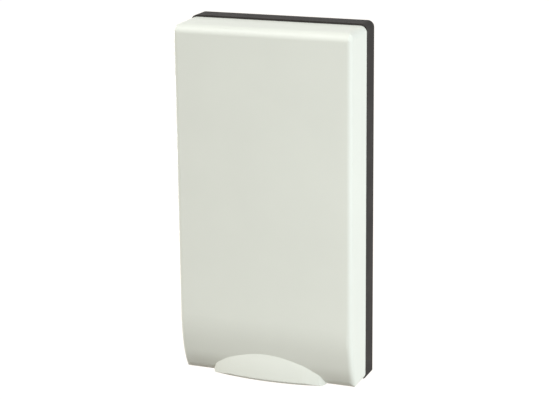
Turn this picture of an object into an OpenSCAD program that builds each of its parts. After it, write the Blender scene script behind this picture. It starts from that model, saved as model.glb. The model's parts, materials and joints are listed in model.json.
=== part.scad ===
// Wall cowl with a pull-off cover.
// The wall is the plane y = 0, the front looks along -y, and z is up.
// Depths are counted from the wall towards the front.

/* [Body] */
// Width of the cowl
body_w = 140; // [130:1:180]
// Height of the cowl
body_h = 276; // [260:1:340]
// Radius of the two upper corners
corner_top_r = 5; // [4:0.5:8]
// Radius of the frame's two lower corners
corner_low_r = 2; // [1:0.5:4]

/* [Cover] */
// Depth of the cover in front of the frame
cover_d = 34.5; // [33:0.5:45]
// Wall of the cover
cover_wall = 2.5; // [2:0.1:3]
// Rounding of the front's upright edges
edge_r = 4; // [3:0.25:6]
// Rounding of the front's upper edge
top_edge_r = 6.5; // [5:0.25:8]
// How far inside its faces the round of an upper front corner is centred
corner_ball = 6.5; // [6:0.25:9]
// Radius of the cover's two lower corners
foot_corner_r = 4.5; // [2:0.5:5]
// How far the cover's roof stays below the frame's top
roof_drop = 1.4; // [0.6:0.1:2]
// How far the roof leans down towards the front
top_lean = 0.5; // [0.4:0.1:3]
// Height of the rolled-under foot of the front
roll_h = 48; // [42:1:56]
// Radius of that roll
roll_r = 130; // [110:5:180]
// Rounding of the front's lower edge
roll_edge_r = 9; // [6:0.5:12]
// Height of the stiffening ribs inside the front
rib_h = 3; // [1.5:0.5:4]
// Thickness of the stiffening ribs
rib_t = 1.8; // [1.2:0.1:2.4]
// Number of upright ribs
rib_columns = 3; // [2:1:5]
// Number of level ribs
rib_rows = 5; // [3:1:7]
// Space between the ribs and the cover's sides
rib_side = 10; // [6:1:16]
// Space between the ribs and the cover's roof
rib_above = 12; // [8:1:20]
// Space between the ribs and the start of the roll
rib_below = 6; // [2:1:12]

/* [Finger lip] */
// Width of the lip
lip_w = 96; // [84:1:105]
// Height of the lip above the cover's floor
lip_h = 24; // [20:0.5:27]
// How far the lip hangs below the cover's floor
lip_drop = 0.4; // [0.2:0.1:1]
// How far the lip stays behind the front
lip_setback = 2.6; // [1.8:0.2:4]
// Radius of the lip's long front arc, seen from above
lip_bow_r = 340; // [250:10:450]
// Width of that arc
lip_bow_w = 55; // [40:1:60]
// Radius of the arcs beside it
lip_side_r = 107; // [80:1:150]
// Radius of the lip's two ends, seen from above
lip_end_r = 8; // [6:0.5:10]
// Radius of the lip's two lower corners, seen from the front
lip_corner_r = 7; // [6:0.5:9]
// How much the rounding of the lip's lower edge exceeds the wall
lip_edge_more = 0.5; // [0.4:0.1:1.2]
// Room for the fingertips behind the lip, front to back
finger_d = 18; // [15:0.5:20]

/* [Frame] */
// Depth of the frame
frame_d = 17; // [15:0.5:22]
// Thickness of the frame's back plate
back_t = 4; // [3.5:0.1:5]
// Height of the collar that centres the cover
collar_h = 4; // [3:0.5:5]
// Thickness of that collar
collar_t = 1.8; // [1.4:0.1:2.4]
// Clearance between the cover and the collar
cover_fit = 0.5; // [0.3:0.1:0.8]
// Gap between the cover's rim and the frame
rim_gap = 0.3; // [0.2:0.1:0.5]
// Radius of the wall screw holes
wall_hole_r = 2.25; // [1.8:0.05:2.6]
// Radius of the bosses round the wall screw holes
wall_boss_r = 5.5; // [4.5:0.1:6]
// Height of those bosses above the back plate
wall_boss_h = 3; // [2:0.5:4]
// Wall screw centres from the frame's inner side
wall_boss_in = 9.2; // [7:0.1:11]
// Width of a weep slot in the frame's floor
weep_w = 16; // [10:1:20]
// Depth of a weep slot, front to back
weep_d = 4; // [3:0.5:5]
// Weep slot centres from the middle
weep_x = 25; // [18:1:35]

/* [Gasket] */
// Width of the wall gasket
gasket_w = 6; // [4:0.5:7]
// Thickness of the wall gasket
gasket_t = 2; // [1.5:0.1:2.4]
// Gasket's outer edge from the frame's edge
gasket_in = 3; // [2:0.5:4]
// Side clearance of the gasket in its groove
gasket_fit = 0.15; // [0.1:0.05:0.3]

/* [Hook hinge] */
// Radius of the frame's ledge that a hook turns on
ledge_r = 5; // [4:0.1:6]
// Clearance between hook and ledge
hook_fit = 0.3; // [0.2:0.05:0.4]
// Thickness of a hook
hook_t = 2.2; // [1.8:0.1:3]
// Width of a hook
hook_w = 18; // [12:1:24]
// Hook centres from the middle
hook_x = 38; // [30:1:44]
// How far a hook reaches round behind its ledge, in degrees
hook_wrap = 48; // [44:1:50]
// Skin left over the hook's pocket
hook_skin = 2.2; // [1.8:0.1:2.4]
// Side room of a hook in its pocket
hook_side = 1; // [0.6:0.1:1.5]

/* [Catch] */
// Width of a catch spring
spring_w = 10; // [8:0.5:11]
// Thickness of the spring strip
spring_t = 0.7; // [0.5:0.05:0.9]
// Spring centres from the frame's inner side
spring_in = 7.2; // [6.5:0.1:9]
// Height of the nib that the spring holds
nib_h = 1.4; // [1:0.1:1.6]
// Depth of the nib, front to back
nib_d = 1.6; // [1.2:0.1:2]
// Gap between nib and collar
nib_gap = 0.8; // [0.6:0.1:1]
// Rear end of a spring, from the wall
spring_rear = 6; // [5:0.5:8]
// How far the spring's slope starts behind the nib's front
spring_lead = 0.8; // [0.6:0.1:1]
// Length of the spring's slope down to the cover's floor
spring_ramp = 3.2; // [2.8:0.1:4]
// Length of the spring's lifted tail
spring_tail = 4; // [3:0.5:5]
// Gap between a spring and the cover's floor
spring_clear = 0.4; // [0.3:0.1:0.6]
// Radius of a rivet's shank
rivet_r = 1.5; // [1.2:0.1:1.8]
// Height of a rivet's head
rivet_head_h = 1.2; // [0.8:0.1:1.6]

/* [Duct] */
// Space beside the duct sleeve, to the cowl's edge
duct_side = 28; // [27:0.5:32]
// Space above the duct sleeve, to the cowl's edge
duct_above = 50; // [48:1:60]
// Space below the duct sleeve, to the cowl's edge
duct_below = 62; // [60:1:70]
// Sheet thickness of the duct sleeve
sheet_t = 1; // [0.8:0.1:1.2]
// Outer corner radius of the duct sleeve
duct_r = 8; // [6:0.5:10]
// Depth of the sleeve's front edge
sleeve_front = 20; // [18:0.5:21]
// Width of the sleeve's flange
flange_w = 8; // [7.5:0.1:9]
// Clearance of the sleeve in the frame's aperture
sleeve_fit = 0.3; // [0.2:0.1:0.6]
// Thickness of the heat gasket under the flange
heat_gasket_t = 1; // [0.6:0.1:1.5]
// Thickness of the duct seal
seal_t = 3; // [2.4:0.1:4]
// Depth of the duct seal, front to back
seal_d = 8; // [6:0.5:9]
// How far the seal's lip stands inwards
seal_lip = 1; // [0.6:0.1:1.5]
// Clearance between the seal and the sleeve
seal_fit = 0.1; // [0.05:0.05:0.2]
// Height of the divider above the middle of the duct
divider_up = 8; // [4:1:14]
// Height of the divider's folded end tabs
tab_h = 9; // [6:0.5:12]

/* [Grille] */
// Space beside the grille, to the cowl's edge
grille_side = 9; // [8:0.5:10]
// Space above the grille, to the cowl's edge
grille_above = 16; // [15:0.5:18]
// Space between the finger lip and the grille
grille_over_lip = 6; // [4.5:0.5:8]
// Depth of the grille's front face
grille_front = 32.5; // [31:0.5:33.5]
// Thickness of the grille's face plate
plate_t = 2.5; // [2:0.1:3]
// Thickness of the grille's skirt
skirt_t = 2; // [1.6:0.1:2.4]
// Depth of the skirt's rear edge
skirt_rear = 20; // [19:0.5:22]
// Corner radius of the grille
grille_r = 5; // [3:0.5:8]
// Frame round the two windows of the grille
window_in = 15; // [14.5:0.5:17]
// Frame above and below the two windows
window_end = 20; // [19:0.5:22]
// Height of the rail between the two windows
rail_h = 16; // [14:1:18]
// Pitch of the intake slats
slat_pitch = 11; // [9:0.5:13]
// Length of a slat across its slope
slat_d = 11; // [9:0.5:11.5]
// Thickness of a slat
slat_t = 1.8; // [1.4:0.1:2.2]
// Slope of the slats in degrees
slat_angle = 42; // [35:1:50]
// Length of the rib behind the rail, which meets the divider
rail_rib_l = 4.5; // [3.5:0.1:6]
// Depth where the grille rests on the frame's posts
post_d = 14; // [12:0.5:14.5]
// Radius of a grille screw tube
tube_r = 5.5; // [5:0.1:6]
// Radius inside a grille screw tube
tube_in_r = 3.8; // [3.7:0.05:4]
// Thickness of a tube's floor
tube_floor = 2.5; // [2:0.1:3]
// Screw tube centres from the grille's corner, both ways
tube_in = 9; // [8:0.1:10]

/* [Exhaust panel and baffle] */
// Overlap of the exhaust panel round its window
panel_lap = 5; // [4.6:0.1:5.5]
// Thickness of the gasket under the exhaust panel
panel_gasket_t = 0.8; // [0.5:0.1:1.2]
// Pitch of the louvre hoods
hood_pitch = 11; // [10.5:0.5:14]
// Radius of a louvre hood
hood_r = 5; // [4:0.2:5.2]
// How far a louvre's slot reaches below its hood
slot_below = 1; // [0.6:0.1:1.5]
// Space beside the baffle, to the window's edge
baffle_in = 11; // [10:0.5:16]
// Distance of the baffle behind the exhaust panel
baffle_gap = 7; // [5:0.5:8]
// Width of the baffle's feet
foot_w = 7; // [6:0.5:8]

/* [Intake guard] */
// Thickness of the guard mesh
mesh_t = 0.8; // [0.6:0.1:1]
// Pitch of the mesh
mesh_pitch = 7; // [6.5:0.25:10]
// Width of a mesh wire
mesh_wire = 1.2; // [0.8:0.1:1.6]
// Overlap of the mesh round its window
mesh_lap = 4; // [3.5:0.1:4.5]
// Width of the retainer that holds the mesh
retainer_w = 5; // [4.8:0.1:6]
// Thickness of the retainer
retainer_t = 2; // [1.5:0.1:2.2]
// Length of the shoulder pegs behind the grille's plate
peg_l = 5; // [4.8:0.1:5.5]
// Radius of a peg's tip
peg_r = 1.4; // [1:0.1:1.5]

/* [Fasteners] */
// Shank radius of the grille screws
grille_screw_r = 1.9; // [1.6:0.1:2.1]
// Shank radius of the flange and panel screws
small_screw_r = 1.2; // [1:0.1:1.4]
// Gap between a shank and its hole
shank_fit = 0.05; // [0.03:0.01:0.1]
// Wall left behind a blind screw hole
blind_skin = 1.5; // [1.2:0.1:2]
// Room beyond the tip of a screw or rivet
tip_room = 0.5; // [0.3:0.1:0.8]

/* [Hidden] */

$fn = 96;
over = 1;
join = 0.5;

body_x = body_w / 2;
body_z = body_h / 2;
front_d = frame_d + cover_d;
rebate = cover_wall + cover_fit;
frame_wall = rebate + collar_t;
inner_x = body_x - frame_wall;
inner_z = body_z - frame_wall;

// Roll of the cover's foot: one arc, and a rounded lower edge that touches it
roll_top_z = -body_z + roll_h;
roll_at = [front_d - roll_r, roll_top_z];
roll_sweep = 60;
foot_angle = asin((roll_h - roll_edge_r) / (roll_r - roll_edge_r));
foot_way = [cos(foot_angle), -sin(foot_angle)];
foot_at = roll_at + (roll_r - roll_edge_r) * foot_way;
top_angle = atan(top_lean / cover_d);

// Ball of an upper front corner: just clear of the three rounded edges that meet there
edge_radii = [edge_r, top_edge_r, corner_top_r];
corner_ball_r = max([for (r = edge_radii) r + (corner_ball - r) * sqrt(2)]) + 0.06;

// Finger lip: a long arc, an arc on each side and two round ends
// Each arc is set forward a little, so that it crosses its neighbour beside their common tangent
lip_front = front_d - lip_setback;
lip_bow_at = lip_front - lip_bow_r;
lip_past = 0.02;
lip_edge_r = cover_wall + lip_edge_more;
lip_side_angle = asin(lip_bow_w / 2 / lip_bow_r);
lip_side_way = [sin(lip_side_angle), cos(lip_side_angle)];
lip_side_at = [0, lip_bow_at] + (lip_bow_r - lip_side_r + lip_past) * lip_side_way;
lip_end_x = lip_w / 2 - lip_end_r;
lip_end_angle = asin((lip_end_x - lip_side_at[0]) / (lip_side_r - lip_end_r));
lip_end_way = [sin(lip_end_angle), cos(lip_end_angle)];
lip_end_at = lip_side_at + (lip_side_r - lip_end_r + lip_past) * lip_end_way;
lip_sweep = 40;
lip_rear = lip_front - cover_wall - finger_d - cover_wall;
lip_top_z = -body_z + lip_h;
lip_low_z = -body_z - lip_drop;
// The lower corners stand out a little, so that they cross the lip's faces at an angle
lip_corner_past = 0.3;
lip_corner_x = lip_w / 2 - lip_corner_r + lip_corner_past;
lip_corner_z = lip_low_z + lip_corner_r - lip_corner_past;

// Hook hinge: its axis is the frame's upper front edge
axis_d = frame_d;
axis_z = body_z;
hook_in_r = ledge_r + hook_fit;
hook_out_r = hook_in_r + hook_t;
hook_fore = 40;
pocket_room = 1.5;
inner_top = inner_z - roof_drop;

// Wall screws
wall_x = inner_x - wall_boss_in;
wall_z = inner_z - wall_boss_in;

// Duct
duct_x = body_x - duct_side;
duct_hi = body_z - duct_above;
duct_lo = -body_z + duct_below;
duct_mid = (duct_hi + duct_lo) / 2;
flange_d = back_t + heat_gasket_t;
sleeve_rear = 0.5;
flange_screw_x = duct_x + flange_w / 2;
flange_screw_hi = duct_hi + flange_w / 2;
flange_screw_lo = duct_lo - flange_w / 2;
seal_front = sleeve_rear + seal_d;
divider_z = duct_mid + divider_up;
divider_rear = seal_front + 1;
seat_gap = 0.2;

// Grille
grille_x = body_x - grille_side;
grille_hi = body_z - grille_above;
grille_lo = lip_top_z + grille_over_lip;
window_x = grille_x - window_in;
plate_rear = grille_front - plate_t;
rail_lo = divider_z - rail_h / 2;
rail_hi = divider_z + rail_h / 2;
exhaust_lo = rail_hi;
exhaust_hi = grille_hi - window_end;
intake_lo = grille_lo + window_end;
intake_hi = rail_lo;
rail_rib_d = plate_rear - rail_rib_l;
tube_x = grille_x - tube_in;
tube_hi = grille_hi - tube_in;
tube_lo = grille_lo + tube_in;
screw_head_d = post_d + tube_floor;
grille_hole_d = back_t + tip_room;

// Exhaust panel and baffle
panel_d = grille_front + panel_gasket_t;
panel_x = window_x + panel_lap;
panel_r = 2;
panel_lo = exhaust_lo - panel_lap;
panel_hi = exhaust_hi + panel_lap;
panel_screw_x = window_x + panel_lap / 2;
panel_screw_in = 4;
panel_boss_r = 2.2;
panel_boss_l = 5;
panel_hole_d = plate_rear - panel_boss_l + blind_skin;
hood_room = exhaust_hi - exhaust_lo - 2 * hood_r;
hood_count = floor(hood_room / hood_pitch) + 1;
hood_first = (exhaust_lo + exhaust_hi - (hood_count - 1) * hood_pitch - hood_r) / 2;
baffle_x = window_x - baffle_in;
hood_x = baffle_x;
baffle_lo = exhaust_lo + baffle_in;
baffle_hi = exhaust_hi - baffle_in;
baffle_d = panel_d - baffle_gap;
baffle_mid = (baffle_lo + baffle_hi) / 2;
foot_z = (baffle_hi - baffle_lo) / 4;

// Intake guard
mesh_x = window_x + mesh_lap;
mesh_lo = intake_lo - mesh_lap;
mesh_hi = intake_hi + mesh_lap;
mesh_d = plate_rear - peg_l;
peg_x = mesh_x - retainer_w / 2;
peg_lo = mesh_lo + retainer_w / 2;
peg_hi = mesh_hi - retainer_w / 2;
peg_shoulder_r = 2.2;
retainer_r = 2;
slat_count = floor((intake_hi - intake_lo) / slat_pitch);
slat_first = (intake_lo + intake_hi - (slat_count - 1) * slat_pitch) / 2;
slat_mid_d = (plate_rear + grille_front) / 2;

// Catch
// A spring keeps clear of the finger lip too, where the cowl is narrow
spring_x = max(inner_x - spring_in, lip_w / 2 + spring_clear + spring_w / 2);
floor_z = -inner_z;
nib_rear = frame_d + collar_h + nib_gap;
cover_floor_z = -body_z + cover_wall;
spring_bend = nib_rear + nib_d - spring_lead;
spring_low_z = cover_floor_z + spring_clear;
spring_low_d = spring_bend + spring_ramp;
spring_tip = spring_low_d + spring_tail;
rivet_d = (spring_rear + frame_d) / 2;
rivet_l = frame_wall - blind_skin - tip_room;
rivet_head_r = 2 * rivet_r;

cover_white = "#e6e8de";
frame_grey = "#4f4c4a";
grille_grey = "#3c3b3a";
steel = "#b9bcbd";
rubber_black = "#262626";
silicone_red = "#8f4136";
fibre_white = "#d8d4c6";

// Drawing aids

// Runs a shape drawn in x and z from one depth to another
module slab(from_d, to_d) {
  translate([0, -from_d, 0])
    rotate([90, 0, 0])
      linear_extrude(to_d - from_d)
        children();
}

// Runs a shape drawn in depth and z across the width
module across(width) {
  rotate([90, 0, -90])
    linear_extrude(width, center = true)
      children();
}

// Turns a shape drawn in radius and x about an axis along x, from the front downwards
module turned(at, sweep) {
  translate([0, -at[0], at[1]])
    rotate([-90, 0, 0])
      rotate([0, 90, 0])
        rotate_extrude(angle = sweep)
          children();
}

// A round rod along the depth
module rod(x, z, from_d, to_d, r) {
  translate([x, -from_d, z])
    rotate([90, 0, 0])
      cylinder(r = r, h = to_d - from_d);
}

// A box by its corners in x, depth and z
module block(x, d, z) {
  translate([x[0], -d[1], z[0]])
    cube([x[1] - x[0], d[1] - d[0], z[1] - z[0]]);
}

// A rectangle with round corners
module round_rect(x, z, low_r, top_r) {
  mid = (z[0] + z[1]) / 2;
  translate([x[0], z[0] + low_r])
    square([x[1] - x[0], z[1] - top_r - z[0] - low_r]);
  translate([x[0] + low_r, z[0]])
    square([x[1] - x[0] - 2 * low_r, mid - z[0]]);
  translate([x[0] + top_r, mid])
    square([x[1] - x[0] - 2 * top_r, z[1] - mid]);
  for (side = [0, 1]) {
    sign = 1 - 2 * side;
    translate([x[side] + sign * low_r, z[0] + low_r])
      circle(low_r);
    translate([x[side] + sign * top_r, z[1] - top_r])
      circle(top_r);
  }
}

// The cowl's outline, drawn in by an inset, and its top lowered by a drop
module outline(inset, drop = 0) {
  round_rect(
    [-body_x + inset, body_x - inset], [-body_z + inset, body_z - drop - inset],
    max(corner_low_r - inset, 0.5), max(corner_top_r - inset, 0.5)
  );
}

// The duct's outline, grown by a margin
module duct_outline(grow) {
  r = max(duct_r + grow, 1);
  round_rect([-duct_x - grow, duct_x + grow], [duct_lo - grow, duct_hi + grow], r, r);
}

module both_sides(x) {
  for (side = [-1, 1])
    translate([side * x, 0, 0])
      children();
}

// Pan-head screw along the depth: its head stands on the given depth
module pan_screw(head_d, shank_r, length) {
  head_r = 1.85 * shank_r;
  head_h = 1.1 * shank_r;
  slot_w = 0.45 * shank_r;
  difference() {
    union() {
      rod(0, 0, head_d - length, head_d + over / 2, shank_r);
      translate([0, -head_d, 0])
        rotate([90, 0, 0])
          rotate_extrude()
            intersection() {
              square([head_r, head_h]);
              translate([0, head_h - 1.6 * head_r])
                circle(1.6 * head_r);
            }
    }
    for (turn = [0, 90])
      translate([0, -head_d - head_h, 0])
        rotate([0, turn, 0])
          cube([1.2 * head_r, head_h, slot_w], center = true);
  }
}

// Frame and wall side

module frame_tray() {
  difference() {
    union() {
      slab(0, frame_d)
        outline(0);
      slab(0, frame_d + collar_h)
        outline(rebate, roof_drop);
    }
    slab(back_t, frame_d + collar_h + over)
      outline(frame_wall, roof_drop);
  }
}

module hook_pockets() {
  half = hook_w / 2 + hook_side;
  reach = hook_out_r + pocket_room;
  both_sides(hook_x) {
    block([-half, half], [axis_d - reach, axis_d + join / 2], [axis_z - reach, axis_z - hook_skin]);
    block([-half, half], [axis_d, axis_d + collar_h + over], [inner_top - over, axis_z]);
  }
}

module hook_ledges() {
  width = hook_w + 2 * hook_side;
  both_sides(hook_x)
    across(width)
      intersection() {
        translate([axis_d, axis_z])
          circle(ledge_r);
        translate([axis_d - ledge_r, axis_z - ledge_r])
          square([ledge_r, ledge_r]);
      }
}

module wall_screw_spots() {
  for (x = [-wall_x, wall_x], z = [-wall_z, 0, wall_z])
    translate([x, 0, z])
      children();
}

module grille_screw_spots() {
  for (x = [-tube_x, tube_x], z = [tube_lo, tube_hi])
    translate([x, 0, z])
      children();
}

module flange_screw_spots() {
  for (x = [-flange_screw_x, flange_screw_x], z = [flange_screw_lo, flange_screw_hi])
    translate([x, 0, z])
      children();
}

module gasket_ring(from_d, to_d, grow) {
  slab(from_d, to_d)
    difference() {
      outline(gasket_in - grow);
      outline(gasket_in + gasket_w + grow);
    }
}

module weep_slots() {
  rear = back_t + weep_d;
  both_sides(weep_x)
    block([-weep_w / 2, weep_w / 2], [rear, rear + weep_d], [-body_z - over, floor_z + over]);
}

module wall_frame() {
  color(frame_grey)
    union() {
      difference() {
        union() {
          frame_tray();
          wall_screw_spots()
            rod(0, 0, back_t - over, back_t + wall_boss_h, wall_boss_r);
          grille_screw_spots()
            rod(0, 0, back_t - over, post_d, tube_r - 1);
        }
        slab(-over, back_t + over)
          duct_outline(sleeve_fit);
        gasket_ring(-over, gasket_t, gasket_fit);
        wall_screw_spots()
          rod(0, 0, -over, back_t + wall_boss_h + over, wall_hole_r);
        grille_screw_spots()
          rod(0, 0, grille_hole_d, post_d + over, grille_screw_r + shank_fit);
        flange_screw_spots()
          rod(0, 0, blind_skin, back_t + over, small_screw_r + shank_fit);
        weep_slots();
        both_sides(spring_x)
          translate([0, -rivet_d, floor_z - rivet_l - tip_room])
            cylinder(r = rivet_r + shank_fit, h = rivet_l + tip_room + over);
        hook_pockets();
      }
      hook_ledges();
    }
}

module wall_gasket() {
  color(rubber_black)
    gasket_ring(0, gasket_t, 0);
}

module heat_gasket() {
  color(fibre_white)
    difference() {
      slab(back_t, flange_d)
        difference() {
          duct_outline(flange_w);
          duct_outline(sleeve_fit);
        }
      flange_screw_spots()
        rod(0, 0, back_t - over, flange_d + over, small_screw_r + shank_fit);
    }
}

module duct_sleeve() {
  color(steel)
    difference() {
      union() {
        slab(sleeve_rear, sleeve_front)
          duct_outline(0);
        slab(flange_d, flange_d + sheet_t)
          duct_outline(flange_w);
      }
      slab(-over, sleeve_front + over)
        duct_outline(-sheet_t);
      flange_screw_spots()
        rod(0, 0, back_t, flange_d + sheet_t + over, small_screw_r + shank_fit);
    }
}

module sleeve_screws() {
  head_d = flange_d + sheet_t;
  color(steel)
    flange_screw_spots()
      pan_screw(head_d, small_screw_r, head_d - blind_skin - tip_room);
}

module duct_seal() {
  outer = -sheet_t - seal_fit;
  web = outer - seal_t + seal_lip;
  color(silicone_red)
    union() {
      slab(sleeve_rear, seal_front)
        difference() {
          duct_outline(outer);
          duct_outline(web);
        }
      slab(seal_front - 2 * seal_lip, seal_front)
        difference() {
          duct_outline(web + join);
          duct_outline(outer - seal_t);
        }
    }
}

module divider_plate() {
  half = duct_x - sheet_t - seat_gap;
  fore = rail_rib_d - seat_gap;
  level = [divider_z - sheet_t / 2, divider_z + sheet_t / 2];
  color(steel)
    union() {
      block([-half, half], [divider_rear, fore], level);
      both_sides(half - sheet_t / 2)
        block([-sheet_t / 2, sheet_t / 2], [divider_rear, sleeve_front], [divider_z - tab_h, divider_z]);
    }
}

// Grille

module grille_outline(inset) {
  r = max(grille_r - inset, 1);
  round_rect([-grille_x + inset, grille_x - inset], [grille_lo + inset, grille_hi - inset], r, r);
}

module window(lo, hi) {
  translate([-window_x, lo])
    square([2 * window_x, hi - lo]);
}

module panel_screw_spots() {
  low = exhaust_lo + panel_screw_in;
  high = exhaust_hi - panel_screw_in;
  for (x = [-panel_screw_x, panel_screw_x], z = [low, high])
    translate([x, 0, z])
      children();
}

module peg_spots() {
  for (x = [-peg_x, peg_x], z = [peg_lo, peg_hi])
    translate([x, 0, z])
      children();
}

module intake_slats() {
  for (i = [0 : slat_count - 1])
    translate([0, -slat_mid_d, slat_first + i * slat_pitch])
      rotate([slat_angle, 0, 0])
        cube([2 * window_x + over, slat_d, slat_t], center = true);
}

// Rib behind the rail, where the divider ends
module rail_rib() {
  level = [divider_z - sheet_t, divider_z + sheet_t];
  block([-window_x, window_x], [rail_rib_d, plate_rear + over], level);
}

module grille_body() {
  color(grille_grey)
    difference() {
      union() {
        difference() {
          slab(skirt_rear, grille_front)
            grille_outline(0);
          slab(skirt_rear - over, plate_rear)
            grille_outline(skirt_t);
          slab(plate_rear - over, grille_front + over) {
            window(intake_lo, intake_hi);
            window(exhaust_lo, exhaust_hi);
          }
        }
        grille_screw_spots()
          rod(0, 0, post_d, plate_rear + over, tube_r);
        panel_screw_spots()
          rod(0, 0, plate_rear - panel_boss_l, plate_rear + over, panel_boss_r);
        peg_spots() {
          rod(0, 0, mesh_d, plate_rear + over, peg_shoulder_r);
          rod(0, 0, mesh_d - mesh_t - retainer_t - tip_room, mesh_d + over, peg_r);
        }
        rail_rib();
        intake_slats();
      }
      grille_screw_spots() {
        rod(0, 0, screw_head_d, grille_front + over, tube_in_r);
        rod(0, 0, post_d - over, screw_head_d + over, grille_screw_r + shank_fit);
      }
      panel_screw_spots()
        rod(0, 0, panel_hole_d, grille_front + over, small_screw_r + shank_fit);
    }
}

module grille_screws() {
  color(steel)
    grille_screw_spots()
      pan_screw(screw_head_d, grille_screw_r, screw_head_d - grille_hole_d - tip_room);
}

module panel_outline() {
  round_rect([-panel_x, panel_x], [panel_lo, panel_hi], panel_r, panel_r);
}

module panel_gasket() {
  color(fibre_white)
    difference() {
      slab(grille_front, panel_d)
        difference() {
          panel_outline();
          window(exhaust_lo, exhaust_hi);
        }
      panel_screw_spots()
        rod(0, 0, grille_front - over, panel_d + over, small_screw_r + shank_fit);
    }
}

module louvre_spots() {
  for (i = [0 : hood_count - 1])
    translate([0, 0, hood_first + i * hood_pitch])
      children();
}

// A quarter-round hood, open below
module louvre_hood() {
  difference() {
    across(2 * hood_x)
      intersection() {
        translate([panel_d, 0])
          circle(hood_r);
        translate([panel_d + sheet_t / 2, 0])
          square(hood_r);
      }
    across(2 * (hood_x - sheet_t))
      intersection() {
        translate([panel_d, 0])
          circle(hood_r - sheet_t);
        translate([panel_d - over, -over])
          square([hood_r + over, hood_r + over]);
      }
  }
}

module louvre_slot() {
  half = hood_x - sheet_t;
  top = hood_r - 1.2 * sheet_t;
  block([-half, half], [panel_d - over, panel_d + sheet_t / 2 + over], [-slot_below, top]);
}

module baffle_rivet_spots() {
  for (side = [-1, 1], z = [-foot_z, foot_z])
    translate([side * (baffle_x + foot_w / 2), 0, baffle_mid + z])
      children();
}

module exhaust_panel() {
  color(steel)
    difference() {
      union() {
        slab(panel_d, panel_d + sheet_t)
          panel_outline();
        louvre_spots()
          louvre_hood();
      }
      louvre_spots()
        louvre_slot();
      panel_screw_spots()
        rod(0, 0, panel_d - over, panel_d + sheet_t + over, small_screw_r + shank_fit);
      baffle_rivet_spots()
        rod(0, 0, panel_d - over, panel_d + sheet_t + over, small_screw_r + shank_fit);
    }
}

module panel_screws() {
  head_d = panel_d + sheet_t;
  color(steel)
    panel_screw_spots()
      pan_screw(head_d, small_screw_r, head_d - panel_hole_d - tip_room);
}

// A leg bent forward from the baffle's edge, and its foot behind the panel
module baffle_feet() {
  inner = baffle_x - sheet_t;
  tall = [-foot_w / 2, foot_w / 2];
  block([inner, baffle_x], [baffle_d, panel_d], tall);
  block([inner, baffle_x + foot_w], [panel_d - sheet_t, panel_d], tall);
}

module wind_baffle() {
  color(steel)
    difference() {
      union() {
        block([-baffle_x, baffle_x], [baffle_d, baffle_d + sheet_t], [baffle_lo, baffle_hi]);
        for (z = [-foot_z, foot_z])
          translate([0, 0, baffle_mid + z]) {
            baffle_feet();
            mirror([1, 0, 0])
              baffle_feet();
          }
      }
      baffle_rivet_spots()
        rod(0, 0, panel_d - sheet_t - over, panel_d + over, small_screw_r + shank_fit);
    }
}

module baffle_rivets() {
  head_r = 2 * small_screw_r;
  head_h = 0.8 * small_screw_r;
  color(steel)
    baffle_rivet_spots() {
      rod(0, 0, panel_d - sheet_t - head_h, panel_d + sheet_t + head_h, small_screw_r);
      rod(0, 0, panel_d - sheet_t - head_h, panel_d - sheet_t, head_r);
      rod(0, 0, panel_d + sheet_t, panel_d + sheet_t + head_h, head_r);
    }
}

module guard_mesh() {
  columns = floor((2 * mesh_x - mesh_wire) / mesh_pitch);
  rows = floor((mesh_hi - mesh_lo - mesh_wire) / mesh_pitch);
  hole = mesh_pitch - mesh_wire;
  first_x = -(columns * mesh_pitch - mesh_wire) / 2;
  first_z = (mesh_lo + mesh_hi - rows * mesh_pitch + mesh_wire) / 2;
  color(steel)
    difference() {
      slab(mesh_d - mesh_t, mesh_d)
        difference() {
          translate([-mesh_x, mesh_lo])
            square([2 * mesh_x, mesh_hi - mesh_lo]);
          for (i = [0 : columns - 1], j = [0 : rows - 1])
            translate([first_x + i * mesh_pitch, first_z + j * mesh_pitch])
              square(hole);
        }
      peg_spots()
        rod(0, 0, mesh_d - mesh_t - over, mesh_d + over, peg_r + shank_fit);
    }
}

module mesh_retainer() {
  front = mesh_d - mesh_t;
  inner_half = mesh_x - retainer_w;
  inner_level = [mesh_lo + retainer_w, mesh_hi - retainer_w];
  color(grille_grey)
    difference() {
      slab(front - retainer_t, front)
        difference() {
          round_rect([-mesh_x, mesh_x], [mesh_lo, mesh_hi], retainer_r, retainer_r);
          round_rect([-inner_half, inner_half], inner_level, retainer_r, retainer_r);
        }
      peg_spots()
        rod(0, 0, front - retainer_t - over, front + over, peg_r + shank_fit);
    }
}

// Catch

module catch_spring(side) {
  lower = [
    [spring_rear, floor_z], [spring_bend, floor_z], [spring_low_d, spring_low_z],
    [spring_low_d + spring_lead, spring_low_z], [spring_tip, floor_z + spring_t]
  ];
  upper = [for (i = [len(lower) - 1 : -1 : 0]) lower[i] + [0, spring_t]];
  color(steel)
    translate([side * spring_x, 0, 0])
      difference() {
        across(spring_w)
          polygon(concat(lower, upper));
        translate([0, -rivet_d, floor_z - over])
          cylinder(r = rivet_r + shank_fit, h = spring_t + 2 * over);
      }
}

module catch_spring_left() {
  catch_spring(-1);
}

module catch_spring_right() {
  catch_spring(1);
}

module catch_rivets() {
  color(steel)
    both_sides(spring_x)
      translate([0, -rivet_d, floor_z]) {
        translate([0, 0, -rivet_l])
          cylinder(r = rivet_r, h = rivet_l + spring_t + rivet_head_h / 2);
        translate([0, 0, spring_t])
          cylinder(r = rivet_head_r, h = rivet_head_h);
      }
}

// Cover

// Section across the front: full width, with rounded front edges, from a rear line to the front line
module edge_section(inset, rear, front) {
  half = body_x - inset;
  r = max(edge_r - inset, 0.5);
  translate([-half, rear])
    square([2 * half, front - r - rear]);
  translate([-half + r, rear])
    square([2 * half - 2 * r, front - rear]);
  for (side = [0, 1])
    mirror([side, 0])
      translate([half - r, front - r])
        intersection() {
          circle(r);
          square(r);
        }
}

// The same section stood on edge, for turning about the roll's axis
module roll_section(inset, rear, front) {
  rotate(-90)
    edge_section(inset, rear, front);
}

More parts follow.
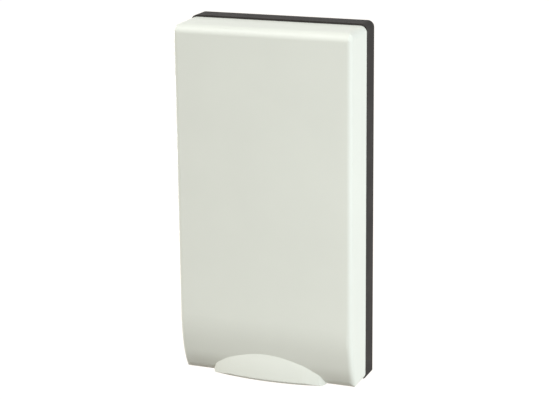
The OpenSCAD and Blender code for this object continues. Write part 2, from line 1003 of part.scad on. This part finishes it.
// Side view: leaning roof and flat floor, both rounded into the front
module side_profile(inset, rear) {
  r = max(top_edge_r - inset, 0.5);
  foot_r = roll_edge_r - inset;
  front = front_d - inset;
  roof = body_z - roof_drop - inset / cos(top_angle);
  low = -body_z + inset;
  // Centre of the upper rounding: r behind the front, and r below the leaning roof
  centre_d = front - r;
  centre_z = roof - (centre_d - frame_d) * tan(top_angle) - r / cos(top_angle);
  clear = foot_at + (foot_r + over) * foot_way;
  polygon([
    [rear, low], [foot_at[0], low], foot_at, clear, [front, clear[1]],
    [front, centre_z], [centre_d, centre_z],
    [centre_d + r * sin(top_angle), centre_z + r * cos(top_angle)],
    [rear, roof + (frame_d - rear) * tan(top_angle)]
  ]);
  translate([centre_d, centre_z])
    circle(r);
  translate(foot_at)
    circle(foot_r);
}

// Front view of the top, run along the leaning roof: rounds its two long edges
module leaning_top(inset) {
  half = body_x - inset;
  top_r = max(corner_top_r - inset, 0.5);
  translate([0, -frame_d, body_z - roof_drop])
    rotate([top_angle, 0, 0])
      slab(-2 * over, cover_d + body_h)
        round_rect([-half, half], [-2 * body_h, -inset], top_r, top_r);
}

// Front view of the foot: rounds the two lower corners
module upright_foot(inset, rear) {
  half = body_x - inset;
  low_r = max(foot_corner_r - inset, 0.5);
  slab(rear, front_d + over)
    round_rect([-half, half], [-body_z + inset, body_z + 2 * corner_top_r], low_r, low_r);
}

// The cover's full form, drawn in by an inset
module cover_form(inset, rear) {
  intersection() {
    union() {
      translate([0, 0, roll_top_z])
        linear_extrude(body_z - roll_top_z)
          mirror([0, 1, 0])
            edge_section(inset, rear, front_d - inset);
      turned(roll_at, roll_sweep)
        roll_section(inset, roll_r - front_d, roll_r - inset);
    }
    across(body_w + over)
      side_profile(inset, rear);
    leaning_top(inset);
    upright_foot(inset, rear);
  }
}

// What the ball leaves of the two upper front corners
module corner_trim() {
  size = 2 * corner_ball;
  at_z = body_z - roof_drop - top_lean - corner_ball;
  for (side = [0, 1])
    mirror([side, 0, 0])
      translate([body_x - corner_ball, corner_ball - front_d, at_z])
        difference() {
          translate([0, -size, 0])
            cube(size);
          sphere(corner_ball_r);
        }
}

// Turns a shape drawn in radius and z about an upright axis
module bowed(at) {
  translate([at[0], -at[1], 0])
    rotate_extrude(start = 270 - lip_sweep, angle = 2 * lip_sweep)
      children();
}

// Upright section of the lip, with a rounded lower edge
module lip_section() {
  e = lip_edge_r;
  tall = lip_top_z - lip_low_z;
  translate([0, lip_low_z + e])
    square([lip_bow_r, tall - e]);
  translate([0, lip_low_z])
    square([lip_bow_r - e, tall]);
  translate([lip_bow_r - e, lip_low_z + e])
    circle(e);
}

// Upright section of the room behind the lip
module room_section() {
  low = lip_low_z - over;
  translate([0, low])
    square([lip_bow_r - cover_wall, lip_top_z - cover_wall - low]);
}

// An arc beside the bow, drawn in by an inset, with everything past its start left in
module side_arc(inset) {
  low = lip_low_z - 1.5 * over;
  bowed(lip_side_at)
    translate([0, low])
      square([lip_side_r - inset, lip_top_z + over / 2 - low]);
  block([-lip_w, lip_bow_w / 2], [lip_rear - over, front_d + over], [low - over, lip_top_z + over]);
}

// Plan of the lip's ends, drawn in by an inset and open towards the front
module lip_plan(inset) {
  r = lip_end_r - inset;
  rear = lip_rear + inset;
  for (side = [0, 1])
    mirror([side, 0]) {
      translate([-join, rear])
        square([lip_end_at[0] + r + join, lip_end_at[1] - rear]);
      translate([-join, rear])
        square([lip_end_at[0] + r * lip_end_way[0] + join, front_d + over - rear]);
      translate(lip_end_at)
        circle(r);
    }
}

// Front view of the lip, drawn in by an inset: round lower corners, open below between them
module lip_face(inset) {
  r = lip_corner_r - inset;
  low = lip_low_z - 2 * over;
  top = lip_top_z + 1.5 * over;
  translate([-lip_corner_x, low])
    square([2 * lip_corner_x, top - low]);
  translate([-lip_corner_x - r, lip_corner_z])
    square([2 * (lip_corner_x + r), top - lip_corner_z]);
  for (side = [-1, 1])
    translate([side * lip_corner_x, lip_corner_z])
      circle(r);
}

// Cuts the bow of a section to the lip's plan and front view
module lip_form(inset) {
  low = lip_low_z - 3 * over;
  intersection() {
    bowed([0, lip_bow_at])
      children();
    side_arc(inset);
    mirror([1, 0, 0])
      side_arc(inset);
    translate([0, 0, low])
      linear_extrude(lip_top_z + 2 * over - low)
        mirror([0, 1])
          lip_plan(inset);
    slab(lip_rear - 2 * over, front_d + 2 * over)
      lip_face(inset);
  }
}

module lip_block() {
  lip_form(0)
    lip_section();
}

// Room for the fingertips, open below
module finger_room() {
  lip_form(cover_wall)
    room_section();
}

module cover_hooks() {
  both_sides(hook_x) {
    intersection() {
      across(hook_w)
        translate([axis_d, axis_z])
          difference() {
            circle(hook_out_r);
            circle(hook_in_r);
          }
      across(hook_w + over)
        translate([axis_d, axis_z])
          polygon([
            [0, 0], 3 * hook_out_r * [-sin(hook_wrap), -cos(hook_wrap)],
            3 * hook_out_r * [0, -1], 3 * hook_out_r * [sin(hook_fore), -cos(hook_fore)]
          ]);
    }
    block(
      [-hook_w / 2, hook_w / 2], [axis_d + 2 * rim_gap, axis_d + hook_out_r * sin(hook_fore) + join],
      [axis_z - hook_out_r * cos(hook_fore) - join, axis_z - roof_drop - cover_wall + join / 2]
    );
  }
}

module cover_ribs() {
  rear = front_d - cover_wall - rib_h;
  top = body_z - roof_drop - top_lean - cover_wall - rib_above;
  low = roll_top_z + rib_below;
  half = body_x - cover_wall - rib_side;
  for (i = [0 : rib_columns - 1])
    translate([half * (2 * (i + 0.5) / rib_columns - 1), 0, 0])
      block([-rib_t / 2, rib_t / 2], [rear, front_d - cover_wall / 2], [low, top]);
  for (i = [0 : rib_rows - 1])
    translate([0, 0, low + (top - low) * (i + 0.5) / rib_rows])
      block([-half, half], [rear, front_d - cover_wall / 2], [-rib_t / 2, rib_t / 2]);
}

module cover_nibs() {
  both_sides(spring_x)
    across(spring_w)
      polygon([
        [nib_rear - nib_h / 2, cover_floor_z - join], [nib_rear + nib_d, cover_floor_z - join],
        [nib_rear + nib_d, cover_floor_z + nib_h / 2],
        [nib_rear + nib_d - nib_h / 2, cover_floor_z + nib_h], [nib_rear, cover_floor_z + nib_h]
      ]);
}

module cover_shell() {
  color(cover_white)
    difference() {
      union() {
        difference() {
          cover_form(0, frame_d + rim_gap);
          cover_form(cover_wall, frame_d - over);
          corner_trim();
        }
        lip_block();
        cover_hooks();
        cover_ribs();
        cover_nibs();
      }
      finger_room();
    }
}

wall_frame();
wall_gasket();
heat_gasket();
duct_sleeve();
sleeve_screws();
duct_seal();
divider_plate();
grille_body();
grille_screws();
panel_gasket();
exhaust_panel();
panel_screws();
wind_baffle();
baffle_rivets();
guard_mesh();
mesh_retainer();
catch_spring_left();
catch_spring_right();
catch_rivets();
cover_shell();
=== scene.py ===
import json
import math

import bmesh
import bpy
from mathutils import Matrix, Vector


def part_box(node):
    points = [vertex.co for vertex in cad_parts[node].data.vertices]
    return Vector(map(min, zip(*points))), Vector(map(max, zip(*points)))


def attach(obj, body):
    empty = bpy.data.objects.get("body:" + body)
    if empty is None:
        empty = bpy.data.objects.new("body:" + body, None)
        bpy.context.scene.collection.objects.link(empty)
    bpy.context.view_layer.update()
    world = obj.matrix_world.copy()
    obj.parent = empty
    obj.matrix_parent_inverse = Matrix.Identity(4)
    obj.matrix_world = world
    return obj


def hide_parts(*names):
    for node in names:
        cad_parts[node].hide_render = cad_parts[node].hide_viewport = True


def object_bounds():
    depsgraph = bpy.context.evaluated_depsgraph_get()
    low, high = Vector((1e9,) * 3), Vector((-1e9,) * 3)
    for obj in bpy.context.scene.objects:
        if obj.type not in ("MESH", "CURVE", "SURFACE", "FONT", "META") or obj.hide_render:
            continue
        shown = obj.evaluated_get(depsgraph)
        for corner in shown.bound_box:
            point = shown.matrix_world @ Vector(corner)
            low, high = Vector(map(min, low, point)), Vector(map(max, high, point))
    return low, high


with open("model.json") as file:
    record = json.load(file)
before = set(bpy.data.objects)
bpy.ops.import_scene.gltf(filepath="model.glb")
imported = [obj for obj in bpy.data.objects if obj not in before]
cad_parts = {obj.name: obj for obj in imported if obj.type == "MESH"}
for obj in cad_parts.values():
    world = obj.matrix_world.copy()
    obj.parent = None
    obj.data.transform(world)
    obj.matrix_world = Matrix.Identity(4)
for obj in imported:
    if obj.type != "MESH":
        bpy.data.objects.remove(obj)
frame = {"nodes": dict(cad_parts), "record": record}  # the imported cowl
cadLow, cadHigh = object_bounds()
cowl = frame["nodes"]


# camera

cameraSet = {
    "lens": 112.427,  # mm
    "sensor": 36,  # mm wide
    "turn": 21.487,  # degrees to the right of straight on
    "rise": 15.499,  # degrees above level
    "roll": -0.602,  # degrees
    "distance": 1.32691,  # metres to the aim point
    "slideRight": 0.009317,  # metres, the origin to the right of the aim point
    "slideUp": 0.005591,
    "clip": (0.05, 50),  # metres, nearest and farthest seen
}


def placeCamera(spec):
    turn, rise, roll = (math.radians(spec[key]) for key in ("turn", "rise", "roll"))
    level = Vector((math.cos(turn), math.sin(turn), 0))
    ahead = Vector((-math.sin(turn) * math.cos(rise), math.cos(turn) * math.cos(rise), -math.sin(rise)))
    above = level.cross(ahead)
    right = math.cos(roll) * level + math.sin(roll) * above
    up = math.cos(roll) * above - math.sin(roll) * level
    data = bpy.data.cameras.new("photoCamera")
    data.lens = spec["lens"]
    data.sensor_width = spec["sensor"]
    data.clip_start, data.clip_end = spec["clip"]
    camera = bpy.data.objects.new("photoCamera", data)
    bpy.context.scene.collection.objects.link(camera)
    camera.matrix_world = Matrix((right, up, -ahead)).transposed().to_4x4()
    camera.location = -ahead * spec["distance"] - right * spec["slideRight"] - up * spec["slideUp"]
    bpy.context.scene.camera = camera


placeCamera(cameraSet)
print("camera placed")


# node helpers

def startFinish(name):
    finish = bpy.data.materials.new(name)
    finish.use_nodes = True
    tree = finish.node_tree
    place = tree.nodes.new("ShaderNodeTexCoord").outputs["Object"]  # metres, in the cowl's frame
    return finish, tree, tree.nodes["Principled BSDF"], place


def stretched(tree, place, scale):
    node = tree.nodes.new("ShaderNodeMapping")
    node.inputs["Scale"].default_value = scale
    tree.links.new(place, node.inputs["Vector"])
    return node.outputs["Vector"]


def cloudy(tree, place, size, detail=3):
    node = tree.nodes.new("ShaderNodeTexNoise")
    node.inputs["Scale"].default_value = 1 / size  # size in metres
    node.inputs["Detail"].default_value = detail
    tree.links.new(place, node.inputs["Vector"])
    return node.outputs["Fac"]


def pores(tree, place, size):
    node = tree.nodes.new("ShaderNodeTexVoronoi")
    node.inputs["Scale"].default_value = 1 / size
    tree.links.new(place, node.inputs["Vector"])
    return node.outputs["Distance"]


def spread(tree, value, low, high, start=0.3, end=0.7):
    node = tree.nodes.new("ShaderNodeMapRange")
    for socket, number in (("From Min", start), ("From Max", end), ("To Min", low), ("To Max", high)):
        node.inputs[socket].default_value = number
    tree.links.new(value, node.inputs["Value"])
    return node.outputs["Result"]


def between(tree, factor, first, second):
    node = tree.nodes.new("ShaderNodeMix")
    node.data_type = "RGBA"
    tree.links.new(factor, node.inputs[0])
    for socket, tint in ((node.inputs[6], first), (node.inputs[7], second)):  # its two colours
        socket.default_value = (*tint, 1)
    return node.outputs[2]


def relief(tree, shader, height, depth, strength=1.0):
    node = tree.nodes.new("ShaderNodeBump")
    node.inputs["Strength"].default_value = strength
    node.inputs["Distance"].default_value = depth
    tree.links.new(height, node.inputs["Height"])
    tree.links.new(node.outputs["Normal"], shader.inputs["Normal"])


def shaded(tint, factor):
    return tuple(channel * factor for channel in tint)


# cover: smooth off-white moulding

coverPlastic = {
    "tint": (0.760, 0.783, 0.706),
    "shade": 0.975,  # of the tint, in its darker clouds
    "cloud": 0.05,  # metres
    "roughness": (0.36, 0.44),
    "specular": 0.30,
    "grain": 0.0005,  # metres
    "grainDepth": 0.000006,
}


def makeCoverPlastic(spec):
    finish, tree, shader, place = startFinish("coverPlastic")
    clouds = spread(tree, cloudy(tree, place, spec["cloud"]), 0, 1)
    tint = between(tree, clouds, shaded(spec["tint"], spec["shade"]), spec["tint"])
    tree.links.new(tint, shader.inputs["Base Color"])
    grain = cloudy(tree, place, spec["grain"], detail=2)
    tree.links.new(spread(tree, grain, *spec["roughness"]), shader.inputs["Roughness"])
    relief(tree, shader, grain, spec["grainDepth"])
    shader.inputs["Specular IOR Level"].default_value = spec["specular"]
    return finish


# frame and grille: dark moulded plastic

darkMoulding = {
    "dustSize": 0.02,  # metres
    "dustShow": (0.45, 0.75),  # noise values where the dust starts and where it is full
    "specular": 0.05,
}
framePlastic = {
    **darkMoulding,
    "name": "framePlastic",
    "tint": (0.036, 0.0325, 0.0305),
    "dust": (0.050, 0.0455, 0.042),
    "roughness": (0.55, 0.68),
    "grain": 0.0004,
    "grainDepth": 0.00002,
}
grillePlastic = {
    **darkMoulding,
    "name": "grillePlastic",
    "tint": (0.030, 0.029, 0.028),
    "dust": (0.050, 0.047, 0.043),
    "roughness": (0.46, 0.6),
    "grain": 0.0005,
    "grainDepth": 0.00003,
}


def makeDarkPlastic(spec):
    finish, tree, shader, place = startFinish(spec["name"])
    dust = spread(tree, cloudy(tree, place, spec["dustSize"], detail=5), 0, 1, *spec["dustShow"])
    tree.links.new(between(tree, dust, spec["tint"], spec["dust"]), shader.inputs["Base Color"])
    grain = cloudy(tree, place, spec["grain"], detail=2)
    tree.links.new(spread(tree, grain, *spec["roughness"]), shader.inputs["Roughness"])
    relief(tree, shader, grain, spec["grainDepth"])
    shader.inputs["Specular IOR Level"].default_value = spec["specular"]
    return finish


# steel: rolled sheet and strip, drawn wire, plated screws

steelSurface = {
    "lineSize": 0.0008,  # metres
    "lineDepth": 0.00002,
    "lineStrength": 0.6,
    "lineStretch": None,  # no rolling lines
    "stainSize": 0.025,
    "stainShow": (0.5, 0.8),
}
rolledSurface = {**steelSurface, "lineStretch": (0.04, 1, 1)}  # lines run along x
sheetSteel = {
    **rolledSurface,
    "name": "sheetSteel",
    "tint": (0.56, 0.57, 0.57),
    "stain": (0.43, 0.40, 0.35),
    "roughness": (0.26, 0.42),
}
meshSteel = {
    **steelSurface,
    "name": "meshSteel",
    "tint": (0.50, 0.51, 0.51),
    "stain": (0.36, 0.35, 0.33),
    "roughness": (0.28, 0.4),
}
springSteel = {
    **rolledSurface,
    "name": "springSteel",
    "tint": (0.52, 0.53, 0.55),
    "stain": (0.36, 0.36, 0.40),
    "roughness": (0.2, 0.32),
}
zincSteel = {
    **steelSurface,
    "name": "zincSteel",
    "tint": (0.60, 0.60, 0.58),
    "stain": (0.46, 0.47, 0.50),
    "roughness": (0.3, 0.48),
}


def makeSteel(spec):
    finish, tree, shader, place = startFinish(spec["name"])
    along = stretched(tree, place, spec["lineStretch"]) if spec["lineStretch"] else place
    lines = cloudy(tree, along, spec["lineSize"], detail=4)
    stains = spread(tree, cloudy(tree, place, spec["stainSize"], detail=4), 0, 1, *spec["stainShow"])
    tree.links.new(between(tree, stains, spec["tint"], spec["stain"]), shader.inputs["Base Color"])
    tree.links.new(spread(tree, lines, *spec["roughness"]), shader.inputs["Roughness"])
    relief(tree, shader, lines, spec["lineDepth"], spec["lineStrength"])
    shader.inputs["Metallic"].default_value = 1
    return finish


# seals and gaskets

softSurface = {
    "cloud": 6,  # pores across one cloud
    "poreShow": (0.1, 0.6),
    "specular": 0.3,
}
gasketFoam = {
    **softSurface,
    "name": "gasketFoam",
    "tint": (0.022, 0.022, 0.023),
    "pale": (0.045, 0.045, 0.046),
    "roughness": (0.75, 0.95),
    "pore": 0.0011,  # metres
    "depth": 0.0003,
}
fibreSheet = {
    **softSurface,
    "name": "fibreSheet",
    "tint": (0.60, 0.57, 0.49),
    "pale": (0.72, 0.70, 0.63),
    "roughness": (0.8, 0.95),
    "pore": 0.0008,
    "depth": 0.00015,
}
sealSilicone = {
    **softSurface,
    "name": "sealSilicone",
    "tint": (0.27, 0.052, 0.036),
    "pale": (0.33, 0.075, 0.05),
    "roughness": (0.42, 0.55),
    "pore": 0.003,
    "depth": 0.00004,
}


def makeSoftSeal(spec):
    finish, tree, shader, place = startFinish(spec["name"])
    cells = pores(tree, place, spec["pore"])
    clouds = spread(tree, cloudy(tree, place, spec["cloud"] * spec["pore"], detail=4), 0, 1)
    tree.links.new(between(tree, clouds, spec["tint"], spec["pale"]), shader.inputs["Base Color"])
    tree.links.new(spread(tree, cells, *spec["roughness"], *spec["poreShow"]), shader.inputs["Roughness"])
    relief(tree, shader, cells, spec["depth"])
    shader.inputs["Specular IOR Level"].default_value = spec["specular"]
    return finish


finishes = {
    "cover_plastic": makeCoverPlastic(coverPlastic),
    "frame_plastic": makeDarkPlastic(framePlastic),
    "grille_plastic": makeDarkPlastic(grillePlastic),
    "sheet_steel": makeSteel(sheetSteel),
    "mesh_steel": makeSteel(meshSteel),
    "spring_steel": makeSteel(springSteel),
    "fastener_steel": makeSteel(zincSteel),
    "gasket_rubber": makeSoftSeal(gasketFoam),
    "fibre_sheet": makeSoftSeal(fibreSheet),
    "seal_silicone": makeSoftSeal(sealSilicone),
}
print("finishes made:", len(finishes))


def dressNodes():
    for part in frame["record"]["subparts"]:
        node = cowl[part["node"]]
        node.data.materials.clear()
        node.data.materials.append(finishes[part["material_slot"]])


dressNodes()
print("nodes dressed")


def addPiece(mesh, body, node, slot):
    piece = bpy.data.objects.new(mesh.name, mesh)
    bpy.context.scene.collection.objects.link(piece)
    mesh.materials.clear()
    mesh.materials.append(finishes[slot])
    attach(piece, body)
    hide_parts(node)


# guard mesh: woven wire in place of the pierced sheet

guardMesh = {
    "wire": 0.0004,  # metres across
    "cells": (27, 28),  # between the pegs, sideways and upwards
    "pegInset": 0.0025,  # from the mesh's edge
    "sides": 6,
    "steps": 4,  # along one cell
}


def weaveWires(form, low, high, spec, way):
    across, along = (0, 2) if way == 0 else (2, 0)
    radius = spec["wire"] / 2
    middle = (low.y + high.y) / 2
    cells = spec["cells"]
    pitch = [(high[axis] - low[axis] - 2 * spec["pegInset"]) / count for axis, count in zip((0, 2), cells)]
    crossStep, alongStep = pitch[way], pitch[1 - way]
    for row in range(cells[way] + 2):
        place = low[across] + spec["pegInset"] + (row - 0.5) * crossStep  # half a cell outside the pegs
        rings = []
        for step in range((cells[1 - way] + 1) * spec["steps"] + 1):
            run = low[along] + spec["pegInset"] + (step / spec["steps"] - 0.5) * alongStep
            wave = math.cos(math.pi * step / spec["steps"]) * (-1) ** (row + way)  # over and under
            ring = []
            for side in range(spec["sides"]):
                turn = 2 * math.pi * side / spec["sides"]
                point = [0, middle + radius * (wave + math.sin(turn)), 0]
                point[across] = place + radius * math.cos(turn)
                point[along] = run
                ring.append(form.verts.new(point))
            rings.append(ring)
        for first, second in zip(rings, rings[1:]):
            for side in range(spec["sides"]):
                after = (side + 1) % spec["sides"]
                form.faces.new((first[side], first[after], second[after], second[side]))
        form.faces.new(rings[0])
        form.faces.new(rings[-1])


def makeGuardMesh(spec):
    low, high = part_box("guard_mesh")
    form = bmesh.new()
    for way in (0, 1):
        weaveWires(form, low, high, spec, way)
    bmesh.ops.recalc_face_normals(form, faces=form.faces)
    mesh = bpy.data.meshes.new("wovenMesh")
    form.to_mesh(mesh)
    form.free()
    for face in mesh.polygons:
        face.use_smooth = len(face.vertices) == 4  # the wire's ends stay flat
    addPiece(mesh, "frame", "guard_mesh", "mesh_steel")
    return len(mesh.polygons)


print("guard mesh woven:", makeGuardMesh(guardMesh), "faces")


# cover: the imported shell, with a fuller finger lip and a foot that draws in more

coverForm = {
    "front": -cadLow.y,  # metres from the wall
    "foot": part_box("wall_frame")[0].z,
    "rollRadius": 0.130,
    "rollHeight": 0.048,
    "tuck": 0.0024,  # at the foot
    "tuckHeight": 0.018,
    "tuckDepth": (0.022, 0.040),  # from the wall: none, full
    "lipHalf": 0.048,  # half the lip's width
    "lipGain": 0.78,  # shares of the lip's height over the roll
    "lipLift": 0.10,
    "cornerLift": 0.20,
    "rowStep": 0.0015,  # between the rows of edges that let the foot bend
    "weld": 0.000001,
    "inside": 0.02,  # share of the way from a corner to its face's middle
}


def coverPlace(spec, spot):
    below = max(0, spec["foot"] + spec["rollHeight"] - spot.z)
    rollFront = spec["front"] - spec["rollRadius"] + math.sqrt(spec["rollRadius"] ** 2 - below ** 2)
    proud = max(0, -spot.y - rollFront)
    shallow, deep = spec["tuckDepth"]
    share = min(1, max(0, (-spot.y - shallow) / (deep - shallow)))
    drawn = max(0, 1 - (spot.z - spec["foot"]) / spec["tuckHeight"])
    back = spec["tuck"] * share * drawn ** 2 - spec["lipGain"] * proud
    lift = (spec["lipLift"] + spec["cornerLift"] * (spot.x / spec["lipHalf"]) ** 4) * proud
    return spot + Vector((0, back, lift))


def turnNormal(spec, normal, spot, step=1e-5):
    slopes = []
    for axis in range(3):
        away = Vector([step if axis == other else 0 for other in range(3)])
        slopes.append((coverPlace(spec, spot + away) - coverPlace(spec, spot - away)) / (2 * step))
    return (Matrix(slopes).inverted() @ normal).normalized()


def makeCover(spec):
    packed = cowl["cover_shell"].data
    mesh = packed.copy()
    mesh.name = "pullOffCover"
    kept = mesh.attributes.new("keptNormal", "FLOAT_VECTOR", "CORNER")
    kept.data.foreach_set("vector", [value for corner in packed.corner_normals for value in corner.vector])
    form = bmesh.new()
    form.from_mesh(mesh)
    bmesh.ops.remove_doubles(form, verts=form.verts, dist=spec["weld"])
    for row in range(1, round(spec["tuckHeight"] / spec["rowStep"]) + 2):
        parts = form.verts[:] + form.edges[:] + form.faces[:]
        level = (0, 0, spec["foot"] + row * spec["rowStep"])
        bmesh.ops.bisect_plane(form, geom=parts, dist=spec["weld"], plane_co=level, plane_no=(0, 0, 1))
    normals = form.loops.layers.float_vector["keptNormal"]
    for face in form.faces:
        middle = face.calc_center_median()
        for corner in face.loops:
            spot = corner.vert.co.lerp(middle, spec["inside"])  # on its own face's side of the lip's edge
            corner[normals] = turnNormal(spec, corner[normals], spot)
    for point in form.verts:
        point.co = coverPlace(spec, point.co)
    form.to_mesh(mesh)
    form.free()
    turned = [tuple(corner.vector) for corner in mesh.attributes["keptNormal"].data]
    mesh.attributes.remove(mesh.attributes["keptNormal"])
    mesh.normals_split_custom_set(turned)
    addPiece(mesh, "cover", "cover_shell", "cover_plastic")
    return len(mesh.polygons)


print("cover shaped:", makeCover(coverForm), "faces")


# stage: pale floor, white surroundings, soft lamps

floorSet = {
    "drop": 0.30,  # metres below the cowl
    "half": 8.0,  # metres, half its side
    "tone": (0.15, 0.12, 0.085),
    "glow": 0.93,
}
skySet = {
    "tone": (1.0, 0.985, 0.96),
    "strength": 0.34,
    "seen": (1.0, 1.0, 1.0),
}
sunSet = {
    "turn": -45,  # degrees, to the left of straight on
    "rise": 45,
    "spread": 45,
    "strength": 2.68,
    "tone": (0.995, 0.995, 1.0),
}
lampSet = (
    {
        "name": "rightLamp",
        "at": (0.961, -0.276, 0.0),  # metres
        "size": 1.1,
        "watts": 13.3,
        "tone": (0.88, 0.94, 1.0),
    },
    {
        "name": "rearLamp",
        "at": (-1.13, 1.13, -0.14),
        "size": 0.8,
        "watts": 15.0,
        "tone": (1.0, 1.0, 1.0),
    },
)


def seenDirectly(tree):
    path = tree.nodes.new("ShaderNodeLightPath")
    total = path.outputs["Is Camera Ray"]
    for ray in ("Is Glossy Ray", "Is Transmission Ray"):
        larger = tree.nodes.new("ShaderNodeMath")
        larger.operation = "MAXIMUM"
        tree.links.new(total, larger.inputs[0])
        tree.links.new(path.outputs[ray], larger.inputs[1])
        total = larger.outputs[0]
    return total


def chooseSeen(tree, unseen, seen, output):
    choice = tree.nodes.new("ShaderNodeMixShader")
    tree.links.new(seenDirectly(tree), choice.inputs[0])
    tree.links.new(unseen.outputs[0], choice.inputs[1])
    tree.links.new(seen.outputs[0], choice.inputs[2])
    tree.links.new(choice.outputs[0], tree.nodes.new(output).inputs["Surface"])


def makeFloorFinish(spec):
    finish = bpy.data.materials.new("paleFloor")
    finish.use_nodes = True
    tree = finish.node_tree
    tree.nodes.clear()
    surface = tree.nodes.new("ShaderNodeBsdfDiffuse")
    surface.inputs["Color"].default_value = (*spec["tone"], 1)
    glow = tree.nodes.new("ShaderNodeEmission")
    glow.inputs["Strength"].default_value = spec["glow"]
    lit = tree.nodes.new("ShaderNodeAddShader")  # glow for the eye, with the shadow kept
    tree.links.new(surface.outputs[0], lit.inputs[0])
    tree.links.new(glow.outputs[0], lit.inputs[1])
    chooseSeen(tree, surface, lit, "ShaderNodeOutputMaterial")
    return finish


def makeFloor(spec):
    half, level = spec["half"], cadLow.z - spec["drop"]
    mesh = bpy.data.meshes.new("floor")
    corners = [(-half, -half, level), (half, -half, level), (half, half, level), (-half, half, level)]
    mesh.from_pydata(corners, [], [(0, 1, 2, 3)])
    floor = bpy.data.objects.new("floor", mesh)
    bpy.context.scene.collection.objects.link(floor)
    mesh.materials.append(makeFloorFinish(spec))


def makeSky(spec):
    world = bpy.data.worlds.new("studio")
    bpy.context.scene.world = world
    world.use_nodes = True
    tree = world.node_tree
    tree.nodes.clear()
    light = tree.nodes.new("ShaderNodeBackground")
    light.inputs["Color"].default_value = (*spec["tone"], 1)
    light.inputs["Strength"].default_value = spec["strength"]
    white = tree.nodes.new("ShaderNodeBackground")
    white.inputs["Color"].default_value = (*spec["seen"], 1)
    chooseSeen(tree, light, white, "ShaderNodeOutputWorld")


def aimLamp(data, spec, place):
    data.color = spec["tone"]
    lamp = bpy.data.objects.new(data.name, data)
    lamp.location = place
    lamp.rotation_euler = (-Vector(place)).to_track_quat("-Z", "Y").to_euler()
    bpy.context.scene.collection.objects.link(lamp)


def hangSun(spec):
    turn, rise = math.radians(spec["turn"]), math.radians(spec["rise"])
    data = bpy.data.lights.new("keySun", "SUN")
    data.angle = math.radians(spec["spread"])
    data.energy = spec["strength"]
    aimLamp(data, spec, (math.sin(turn) * math.cos(rise), -math.cos(turn) * math.cos(rise), math.sin(rise)))


def hangLamp(spec):
    data = bpy.data.lights.new(spec["name"], "AREA")
    data.size = spec["size"]
    data.energy = spec["watts"]
    aimLamp(data, spec, spec["at"])


makeFloor(floorSet)
makeSky(skySet)
hangSun(sunSet)
for lamp in lampSet:
    hangLamp(lamp)
bpy.context.scene.view_settings.view_transform = "Standard"
print("stage lit: sun and", len(lampSet), "lamps")
